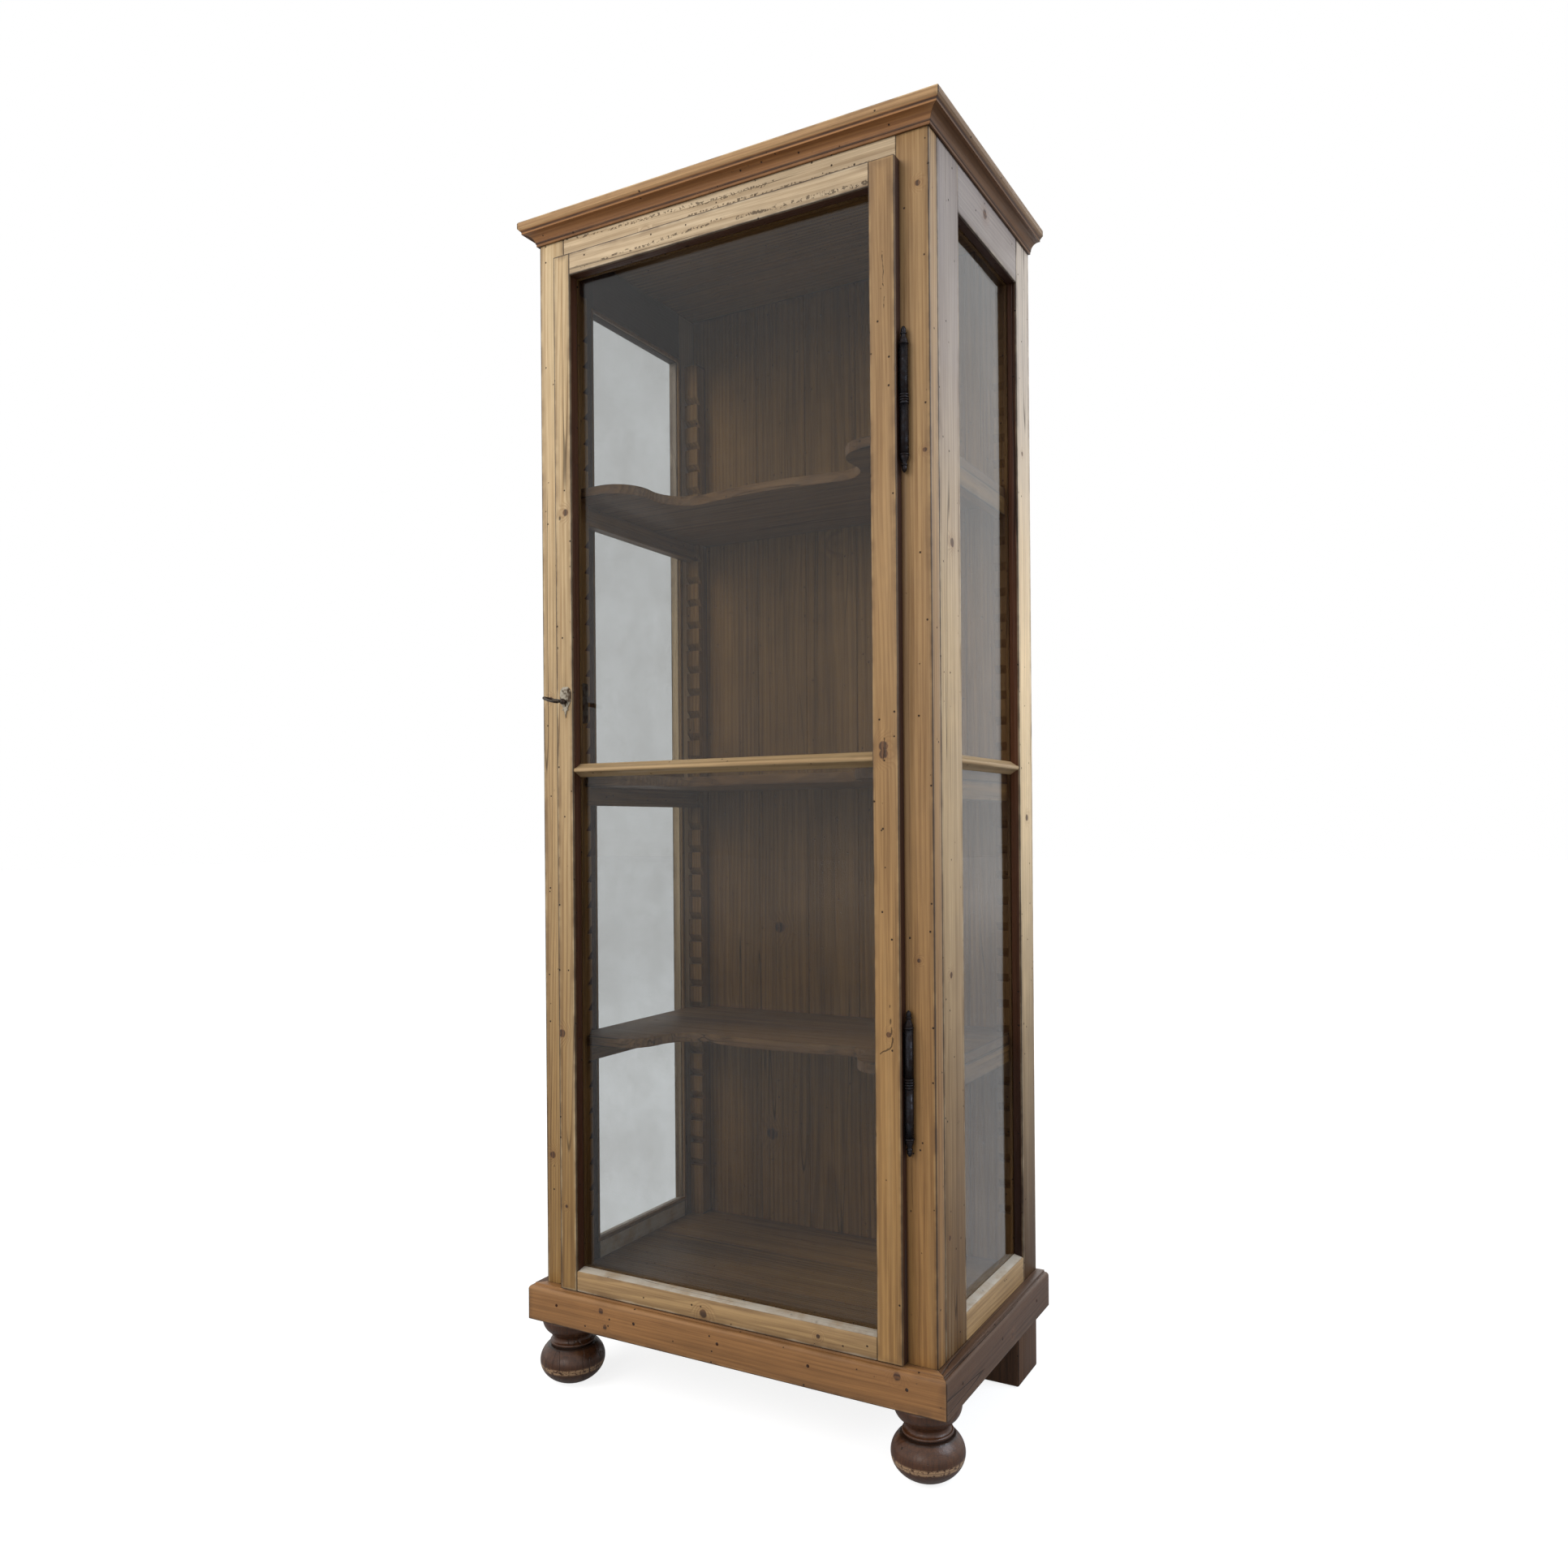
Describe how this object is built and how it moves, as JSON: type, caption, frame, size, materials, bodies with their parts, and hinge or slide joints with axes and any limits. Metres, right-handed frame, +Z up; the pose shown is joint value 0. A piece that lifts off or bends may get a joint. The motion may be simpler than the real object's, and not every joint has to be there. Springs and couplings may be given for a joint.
{
  "type": "display cabinet",
  "caption": "Tall glazed display cabinet with a lapped, locking door on barrel hinges, adjustable serpentine shelves on toothed racks, bun feet in front",
  "frame": {"origin": "centre of the overall footprint, the key's reach included, at floor level", "axes": "+Z up, -Y out of the front with the door, +X to the right as one faces the door"},
  "size_m": [0.746, 0.488, 1.901],
  "materials": {
    "pine": "waxed, worn",
    "inner_pine": "dry, grey with age",
    "base_pine": "waxed, dark and rubbed",
    "glass": "clear, slightly uneven",
    "iron": "black, rubbed to a shine",
    "steel": "dark, worn",
    "plate": "pale, worn"
  },
  "bodies": {
    "carcass": {"back_planks": "inner_pine", "base_rail_back": "inner_pine", "bottom_rail": "pine", "bun_foot_left": "base_pine", "bun_foot_right": "base_pine", "corner_blocks": "inner_pine", "cornice_front": "pine", "cornice_left": "pine", "cornice_right": "pine", "face_stile_left": "pine", "face_stile_right": "pine", "floor_bearers": "inner_pine", "floor_boards": "inner_pine", "frieze_rail": "pine", "hinge_frame_halves": "iron", "hinge_pins": "iron", "plinth_front": "base_pine", "plinth_left": "base_pine", "plinth_right": "base_pine", "racks_left": "inner_pine", "racks_right": "inner_pine", "rear_foot_left": "base_pine", "rear_foot_right": "base_pine", "shelf_cleats_lower": "inner_pine", "shelf_cleats_middle": "inner_pine", "shelf_cleats_upper": "inner_pine", "side_left_bottom_rail": "pine", "side_left_front_stile": "pine", "side_left_glazing_bar": "pine", "side_left_glazing_beads": "pine", "side_left_panes": "glass", "side_left_rear_stile": "pine", "side_left_top_rail": "pine", "side_right_bottom_rail": "pine", "side_right_front_stile": "pine", "side_right_glazing_bar": "pine", "side_right_glazing_beads": "pine", "side_right_panes": "glass", "side_right_rear_stile": "pine", "side_right_top_rail": "pine", "strike_plate": "steel", "top_boards": "pine"},
    "door": {"door_bottom_rail": "pine", "door_glazing_bar": "pine", "door_glazing_beads": "pine", "door_hinge_stile": "pine", "door_lock_stile": "pine", "door_pane_lower": "glass", "door_pane_upper": "glass", "door_top_rail": "pine", "lock_case": "steel", "escutcheon": "plate", "hinge_door_halves": "iron"},
    "key": {"key": "steel"},
    "lock_bolt": {"lock_bolt": "steel"},
    "shelf_lower": {"shelf_lower": "inner_pine"},
    "shelf_middle": {"shelf_middle": "inner_pine"},
    "shelf_upper": {"shelf_upper": "inner_pine"}
  },
  "joints": [
    {"name": "door_swing", "type": "hinge", "parent": "carcass", "child": "door", "pos_m": [0.3106, -0.1836, 1], "axis": [0, 0, 1], "range_deg": [0, 110]},
    {"name": "key_turn", "type": "hinge", "parent": "door", "child": "key", "pos_m": [-0.284, -0.194, 1.111], "axis": [0, 1, 0], "range_deg": [0, 136]},
    {"name": "bolt_slide", "type": "slide", "parent": "door", "child": "lock_bolt", "axis": [-1, 0, 0], "range_m": [0, 0.008]},
    {"name": "shelf_lower_lift", "type": "slide", "parent": "carcass", "child": "shelf_lower", "axis": [0, 0, 1], "range_m": [0, 0.025]},
    {"name": "shelf_middle_lift", "type": "slide", "parent": "carcass", "child": "shelf_middle", "axis": [0, 0, 1], "range_m": [0, 0.025]},
    {"name": "shelf_upper_lift", "type": "slide", "parent": "carcass", "child": "shelf_upper", "axis": [0, 0, 1], "range_m": [0, 0.025]}
  ],
  "couplings": [
    {"joint": "bolt_slide", "follows": "key_turn", "m_per_rad": 0.0033703}
  ]
}
